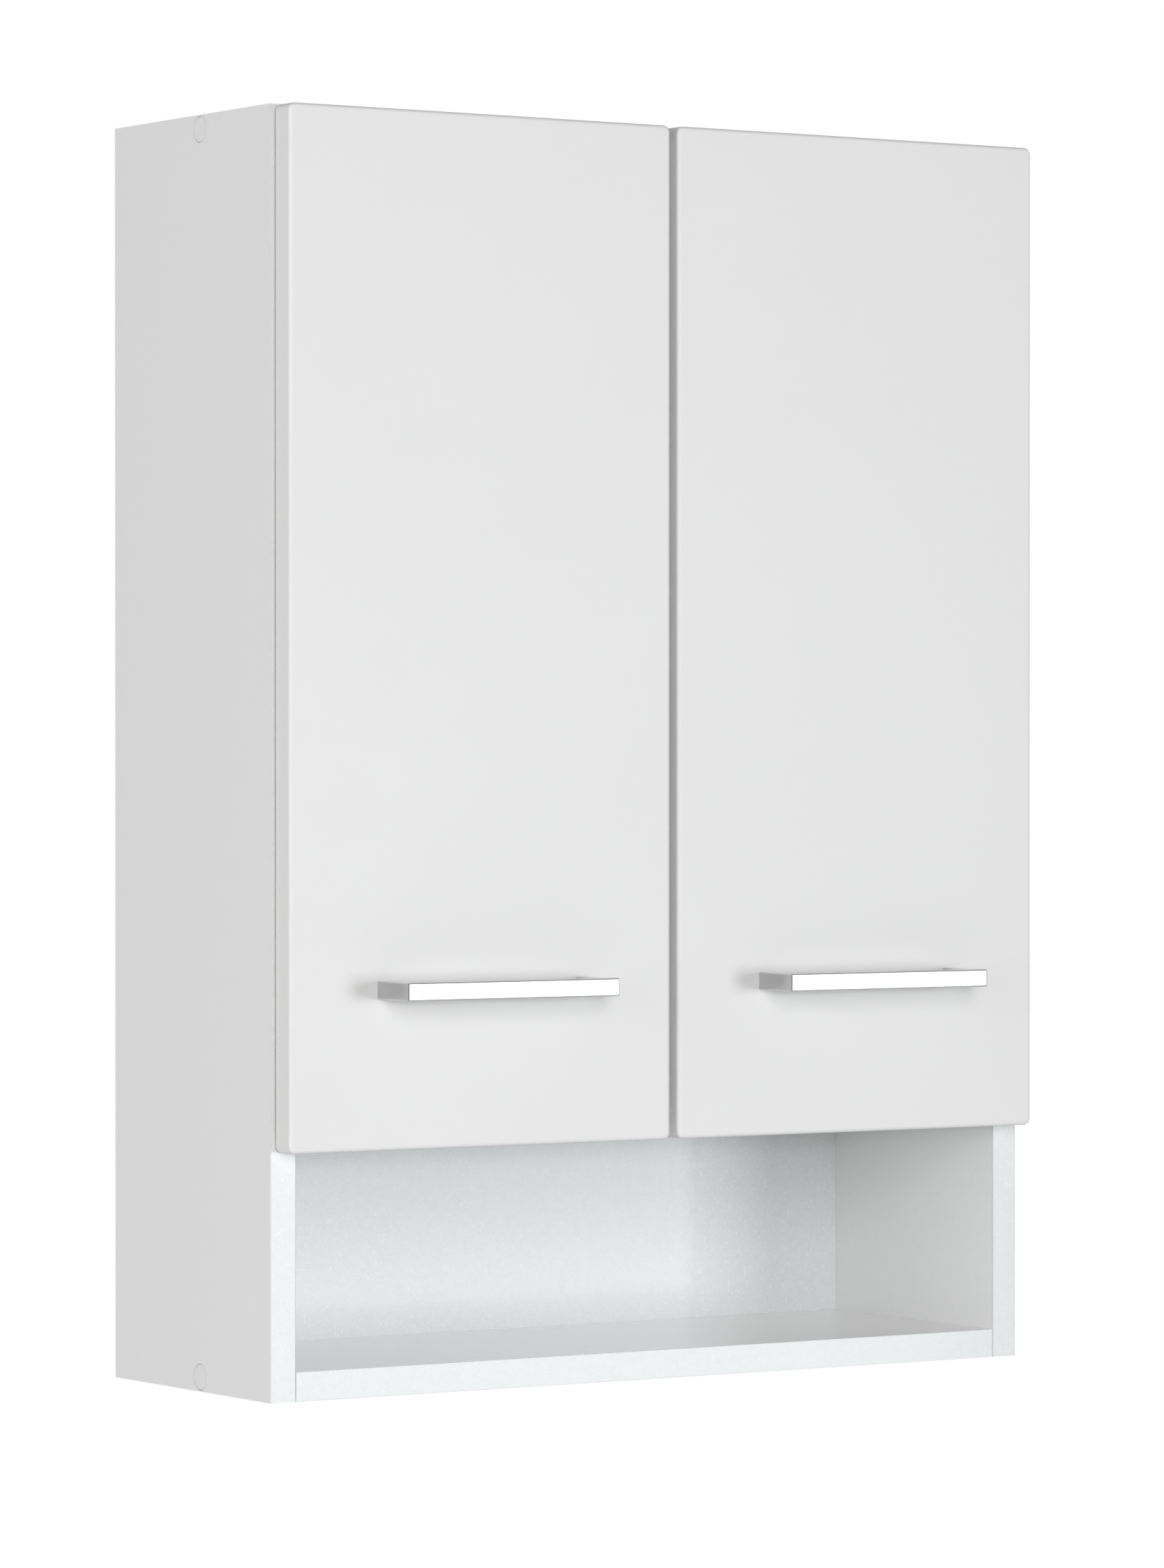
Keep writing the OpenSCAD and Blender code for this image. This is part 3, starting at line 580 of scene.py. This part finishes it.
def dress_faces(node, finishes, pick):
    """Gives each face of a board the finish that pick names for it."""
    mesh = NODES[node].data
    names = list(finishes)
    mesh.materials.clear()
    for name in names:
        mesh.materials.append(finishes[name])
    low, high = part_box(node)
    for polygon in mesh.polygons:
        polygon.material_index = names.index(
            pick(polygon, on_box_plane(polygon, low, high), low, high))


def dress(node, material):
    mesh = NODES[node].data
    mesh.materials.clear()
    mesh.materials.append(material)


def soften(node, radius, steps):
    """Rounds the arrises of a CAD piece without moving a point of its mesh."""
    piece = NODES[node]
    weld = piece.modifiers.new("weld", "WELD")
    weld.merge_threshold = SAME_POINT
    flat = piece.modifiers.new("flat_faces", "DECIMATE")
    flat.decimate_type = "DISSOLVE"
    flat.angle_limit = LEVEL_ANGLE
    arris = piece.modifiers.new("arris", "BEVEL")
    arris.width = radius
    arris.segments = steps
    arris.limit_method = "ANGLE"
    arris.angle_limit = ARRIS_ANGLE
    arris.use_clamp_overlap = True
    shade = piece.modifiers.new("shade", "WEIGHTED_NORMAL")
    shade.keep_sharp = True


# ---- operators ----

class CABINET_OT_carcass(Operator):
    """Finish the side panels, level boards and shelves"""
    bl_idname = "cabinet.carcass"
    bl_label = "Carcass boards"

    def execute(self, context):
        boards = context.scene.cabinet_boards
        inner, side = (corner.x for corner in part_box("right_side_panel"))
        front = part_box("left_side_panel")[0].y
        shelf_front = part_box("lower_shelf")[0].y
        size = boards.pearl_size
        shared = {
            "outer": melamine("outer_melamine", boards.outer, boards.outer_depth, size),
            "chips": chipboard("raw_chipboard", boards.chips, boards.outer,
                               side - boards.skin),
        }
        fixed = {
            "pearl": melamine("pearl_melamine", boards.pearl, boards.pearl_depth, size,
                              glue_seam(boards.pearl, front + boards.edging)),
            # brighter copy of the pearl for the up-facing tops: painted light
            "level": melamine("lit_top_melamine", boards.level, boards.pearl_depth, size,
                              glue_seam(boards.level, front + boards.edging)),
            # the edging's outer arris carries painted shade
            "edging": melamine("board_edging", boards.edging_tone, boards.edging_depth, size,
                               joints_and_arris_shade(boards.edging_tone, inner, side)),
            **shared,
        }
        loose = {
            "pearl": melamine("shelf_end_melamine", boards.pearl, boards.pearl_depth, size),
            # brighter copy of the pearl for the shelves' tops: painted light
            "level": melamine("shelf_lit_top_melamine", boards.level, boards.pearl_depth, size,
                              glue_seam(boards.level, shelf_front + boards.edging)),
            "edging": melamine("shelf_edging", boards.edging_tone, boards.edging_depth, size),
            **shared,
        }
        outer_planes = {
            "left_side_panel": (0, 0), "right_side_panel": (0, 1),
            "top_panel": (2, 1), "bottom_panel": (2, 0),
        }

        def pick(node):
            def name_for(polygon, plane, low, high):
                if polygon.center.y < low.y + boards.edging / 2:
                    return "edging"
                if plane is None:
                    return "chips"
                if plane == outer_planes.get(node):
                    return "outer"
                if plane == (1, 1):
                    return "chips"
                # up-facing tops take the painted-light copy
                return "level" if plane == (2, 1) else "pearl"
            return name_for

        for node in (*outer_planes, "fixed_shelf"):
            dress_faces(node, fixed, pick(node))
        for node in ("lower_shelf", "upper_shelf"):
            dress_faces(node, loose, pick(node))
        return {"FINISHED"}


class CABINET_OT_back_panel(Operator):
    """Finish the back panel: lacquered in front, raw hardboard behind"""
    bl_idname = "cabinet.back_panel"
    bl_label = "Back panel"

    def execute(self, context):
        boards = context.scene.cabinet_boards
        finishes = {
            "lacquer": melamine("back_lacquer", boards.lacquer, boards.back_depth,
                                boards.pearl_size),
            "raw": fibreboard("raw_hardboard", boards.hardboard, boards.coarse_fibre),
        }

        def pick(polygon, plane, low, high):
            return "lacquer" if plane == (1, 0) else "raw"

        dress_faces("back_panel", finishes, pick)
        return {"FINISHED"}


class CABINET_OT_doors(Operator):
    """Finish the doors: foil in front and round the edges, lined behind"""
    bl_idname = "cabinet.doors"
    bl_label = "Doors"

    def execute(self, context):
        boards = context.scene.cabinet_boards
        finishes = {
            "foil": foil("door_foil", boards.foil),
            "lining": melamine("door_lining", boards.door_back, boards.outer_depth,
                               boards.pearl_size),
            "fibre": fibreboard("raw_fibreboard", boards.fibre, boards.fine_fibre),
        }

        def pick(polygon, plane, low, high):
            if plane == (1, 1):
                return "lining"
            edge = min(
                polygon.center.x - low.x, high.x - polygon.center.x,
                polygon.center.z - low.z, high.z - polygon.center.z)
            wrapped = edge < DOOR_WRAP or plane == (1, 0)
            return "foil" if wrapped else "fibre"

        for side in SIDES:
            dress_faces(f"{side}_door", finishes, pick)
        return {"FINISHED"}


class CABINET_OT_handles(Operator):
    """Build the two bar handles with rounded arrises"""
    bl_idname = "cabinet.handles"
    bl_label = "Handles"

    def execute(self, context):
        sizes = context.scene.cabinet_handles
        plate = chrome("handle_chrome", context.scene.cabinet_fittings.chrome)
        for side in SIDES:
            low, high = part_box(f"{side}_handle")
            piece = self.bar(f"{side}_bar_handle", low, high, sizes)
            piece.data.materials.append(plate)
            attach(piece, f"{side}_door")
            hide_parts(f"{side}_handle")
        return {"FINISHED"}

    @staticmethod
    def bar(name, low, high, sizes):
        """Bar on two legs, drawn in plan and raised, with every arris rounded."""
        inner_low = low.x + sizes.leg
        inner_high = high.x - sizes.leg
        inner_front = low.y + sizes.bar
        plan = (
            (low.x, low.y), (high.x, low.y), (high.x, high.y), (inner_high, high.y),
            (inner_high, inner_front), (inner_low, inner_front), (inner_low, high.y),
            (low.x, high.y),
        )
        shape = bmesh.new()
        base = [shape.verts.new((x, y, low.z)) for x, y in plan]
        face = shape.faces.new(base)
        raised = bmesh.ops.extrude_face_region(shape, geom=[face])
        lifted = [item for item in raised["geom"] if isinstance(item, bmesh.types.BMVert)]
        bmesh.ops.translate(shape, verts=lifted, vec=(0, 0, high.z - low.z))
        bmesh.ops.recalc_face_normals(shape, faces=shape.faces)
        seat = [
            edge for edge in shape.edges
            if all(abs(vert.co.y - high.y) < SAME_POINT for vert in edge.verts)
        ]
        rounded = [edge for edge in shape.edges if edge not in seat]
        bmesh.ops.bevel(
            shape, geom=rounded, offset=sizes.arris, segments=sizes.steps, profile=ROUND,
            affect="EDGES", clamp_overlap=True)
        mesh = bpy.data.meshes.new(name)
        shape.to_mesh(mesh)
        shape.free()
        piece = bpy.data.objects.new(name, mesh)
        bpy.context.scene.collection.objects.link(piece)
        for polygon in mesh.polygons:
            polygon.use_smooth = True
        shade = piece.modifiers.new("shade", "WEIGHTED_NORMAL")
        shade.keep_sharp = True
        return piece


class CABINET_OT_hinges(Operator):
    """Finish the cup hinges and their screws"""
    bl_idname = "cabinet.hinges"
    bl_label = "Hinges"

    def execute(self, context):
        fittings = context.scene.cabinet_fittings
        nickel = satin_nickel("satin_nickel", fittings.nickel)
        zinc = zinc_plate("hinge_zinc", fittings.zinc)
        pressed = [
            f"{end}_{side}_{part}"
            for end in ("lower", "upper") for side in SIDES
            for part in ("hinge_cup", "hinge_arm", "mounting_plate")
        ]
        turned = ["mounting_plate_screws", "hinge_arm_screws"] + [
            f"{side}_{part}" for side in SIDES for part in ("hinge_pins", "cup_screws")
        ]
        for node in pressed:
            dress(node, nickel)
            soften(node, fittings.arris, fittings.arris_steps)
        for node in turned:
            dress(node, zinc)
            soften(node, fittings.screw_arris, fittings.arris_steps)
        return {"FINISHED"}


class CABINET_OT_hangers(Operator):
    """Finish the hangers, their hooks and the wall plates"""
    bl_idname = "cabinet.hangers"
    bl_label = "Hangers and wall plates"

    def execute(self, context):
        fittings = context.scene.cabinet_fittings
        plastic = moulded_plastic("hanger_plastic", fittings.plastic)
        zinc = zinc_plate("hanger_zinc", fittings.zinc)
        for side in SIDES:
            for part in ("hanger", "hanger_cover"):
                dress(f"{side}_{part}", plastic)
                soften(f"{side}_{part}", fittings.arris, fittings.arris_steps)
            for part in ("hanger_hook", "wall_plate"):
                dress(f"{side}_{part}", zinc)
                soften(f"{side}_{part}", fittings.arris, fittings.arris_steps)
        dress("hanger_screws", zinc)
        soften("hanger_screws", fittings.screw_arris, fittings.arris_steps)
        return {"FINISHED"}


class CABINET_OT_board_fittings(Operator):
    """Finish the caps, supports, buffers, dowels, cams and screws"""
    bl_idname = "cabinet.board_fittings"
    bl_label = "Board fittings"

    def execute(self, context):
        fittings = context.scene.cabinet_fittings
        zinc = zinc_plate("fitting_zinc", fittings.zinc)
        # the rim faces get a darker copy of the cap's plastic: painted shade in the gap round
        # the cap
        caps = {
            "face": moulded_plastic("cap_plastic", fittings.cap),
            "joint": moulded_plastic("cap_rim_shade", scaled(fittings.cap, fittings.cap_rim_shade)),
        }

        def pick(polygon, plane, low, high):
            # faces that do not face along X, the rim, take the painted-shade copy
            return "face" if abs(polygon.normal.x) > FACING else "joint"

        dress_faces("cover_caps", caps, pick)
        dress("board_dowels", beech("beech_dowel", fittings.beech))
        clear = soft_buffer("soft_buffer", fittings.buffer)
        for side in SIDES:
            dress(f"{side}_door_buffers", clear)
            soften(f"{side}_door_buffers", fittings.arris, fittings.arris_steps)
            dress(f"{side}_handle_screws", zinc)
            soften(f"{side}_handle_screws", fittings.screw_arris, fittings.arris_steps)
        for node in ("board_screws", "cam_locks", "cam_bolts", "shelf_supports"):
            dress(node, zinc)
            soften(node, fittings.screw_arris, fittings.arris_steps)
        return {"FINISHED"}


class CABINET_OT_studio(Operator):
    """Set up the floor, the white surround, the lamps and the camera"""
    bl_idname = "cabinet.studio"
    bl_label = "Studio"

    def execute(self, context):
        studio = context.scene.cabinet_studio
        low, high = CAD_BOX
        middle = (low + high) / 2
        self.floor(studio, middle, low.z - studio.floor_drop)
        self.surround(context.scene, studio)
        for box in SOFT_BOXES:
            self.lamp(box, middle, studio)
        self.camera(context.scene, studio)
        context.scene.view_settings.view_transform = "Standard"
        return {"FINISHED"}

    @staticmethod
    def floor(studio, middle, height):
        """Pale disc that fades into the white surround at its rim."""
        mesh = bpy.data.meshes.new("studio_floor")
        disc = bmesh.new()
        bmesh.ops.create_circle(
            disc, cap_ends=True, segments=FLOOR_SIDES, radius=studio.floor_size)
        bmesh.ops.translate(disc, verts=disc.verts, vec=(middle.x, middle.y, height))
        disc.to_mesh(mesh)
        disc.free()
        floor = bpy.data.objects.new("studio_floor", mesh)
        bpy.context.scene.collection.objects.link(floor)
        material = bpy.data.materials.new("studio_floor")
        material.use_nodes = True
        graph = Graph(material.node_tree)
        tint = graph.shades(graph.noise(FLOOR_CLOUD, 3.0), studio.floor, *FLOOR_TONES)
        paint = graph.node("ShaderNodeBsdfPrincipled", inputs={
            "Base Color": tint, "Roughness": 0.7})
        glow = graph.node("ShaderNodeEmission", inputs={"Color": WHITE, "Strength": 1.0})
        flat = graph.node(
            "ShaderNodeVectorMath", {"operation": "MULTIPLY"},
            {0: graph.place(), 1: (1.0, 1.0, 0.0)})
        away = graph.node(
            "ShaderNodeVectorMath", {"operation": "LENGTH"}, {0: flat}, output="Value")
        rim = graph.ramp(away, *(reach * studio.floor_size for reach in FLOOR_RIM))
        seen, mirrored = (
            graph.node("ShaderNodeLightPath", output=f"Is {kind} Ray")
            for kind in ("Camera", "Glossy")
        )
        shining = (seen * between(rim, *FLOOR_GLOW)).most(mirrored * studio.mirrored)
        mixed = graph.node("ShaderNodeMixShader", inputs={0: shining, 1: paint, 2: glow})
        graph.node("ShaderNodeOutputMaterial", inputs={"Surface": mixed})
        mesh.materials.append(material)

    @staticmethod
    def surround(scene, studio):
        """White for the camera and in reflections, dimmer as light."""
        world = bpy.data.worlds.new("studio_surround")
        world.use_nodes = True
        scene.world = world
        graph = Graph(world.node_tree)
        seen, mirrored, through = (
            graph.node("ShaderNodeLightPath", output=f"Is {kind} Ray")
            for kind in ("Camera", "Glossy", "Transmission")
        )
        reflected = mirrored * studio.mirrored
        strength = seen.most(through).most(reflected).most(studio.ambient)
        white = graph.node(
            "ShaderNodeBackground", inputs={"Color": WHITE, "Strength": strength})
        graph.node("ShaderNodeOutputWorld", inputs={"Surface": white})

    @staticmethod
    def lamp(box, target, studio):
        """Soft box that faces target from its turn and rise."""
        light = bpy.data.lights.new(box.name, "AREA")
        light.shape = "RECTANGLE"
        light.size = box.width
        light.size_y = box.height
        light.energy = box.watts * studio.brightness
        if box.cool:
            light.color = studio.cool
        turned = math.radians(box.turn)
        rise = math.radians(box.rise)
        away = Vector((
            math.sin(turned) * math.cos(rise), -math.cos(turned) * math.cos(rise),
            math.sin(rise)))
        lamp = bpy.data.objects.new(box.name, light)
        bpy.context.scene.collection.objects.link(lamp)
        lamp.location = target + studio.lamp_reach * away
        lamp.rotation_euler = away.to_track_quat("Z", "Y").to_euler()
        lamp.visible_camera = False
        lamp.visible_glossy = box.mirrored
        lamp.visible_diffuse = not box.mirrored

    @staticmethod
    def camera(scene, studio):
        lens = bpy.data.cameras.new("studio_camera")
        lens.lens = studio.lens
        camera = bpy.data.objects.new("studio_camera", lens)
        scene.collection.objects.link(camera)
        camera.location = studio.stand
        camera.rotation_euler = (math.pi / 2 - studio.dip, 0.0, -studio.pan)
        scene.camera = camera


OPERATORS = (
    CABINET_OT_carcass,
    CABINET_OT_back_panel,
    CABINET_OT_doors,
    CABINET_OT_handles,
    CABINET_OT_hinges,
    CABINET_OT_hangers,
    CABINET_OT_board_fittings,
    CABINET_OT_studio,
)


class CABINET_PT_panel(Panel):
    """Pieces of the wall cabinet"""
    bl_idname = "CABINET_PT_panel"
    bl_label = "Wall cabinet"
    bl_space_type = "VIEW_3D"
    bl_region_type = "UI"
    bl_category = "Cabinet"

    def draw(self, context):
        for group in GROUPS:
            box = self.layout.box()
            box.label(text=group.__doc__)
            held = getattr(context.scene, GROUPS[group])
            for name in group.__annotations__:
                box.prop(held, name)
        for operator in OPERATORS:
            self.layout.operator(operator.bl_idname)


GROUPS = {
    CABINET_PG_boards: "cabinet_boards",
    CABINET_PG_fittings: "cabinet_fittings",
    CABINET_PG_handles: "cabinet_handles",
    CABINET_PG_studio: "cabinet_studio",
}


def register():
    for kind in (*GROUPS, *OPERATORS, CABINET_PT_panel):
        bpy.utils.register_class(kind)
    for group, name in GROUPS.items():
        setattr(bpy.types.Scene, name, PointerProperty(type=group))


def unregister():
    for name in GROUPS.values():
        delattr(bpy.types.Scene, name)
    for kind in reversed((*GROUPS, *OPERATORS, CABINET_PT_panel)):
        bpy.utils.unregister_class(kind)


def main():
    register()
    bpy.ops.cabinet.carcass()
    bpy.ops.cabinet.back_panel()
    bpy.ops.cabinet.doors()
    bpy.ops.cabinet.handles()
    bpy.ops.cabinet.hinges()
    bpy.ops.cabinet.hangers()
    bpy.ops.cabinet.board_fittings()
    bpy.ops.cabinet.studio()


if __name__ == "__main__":
    main()
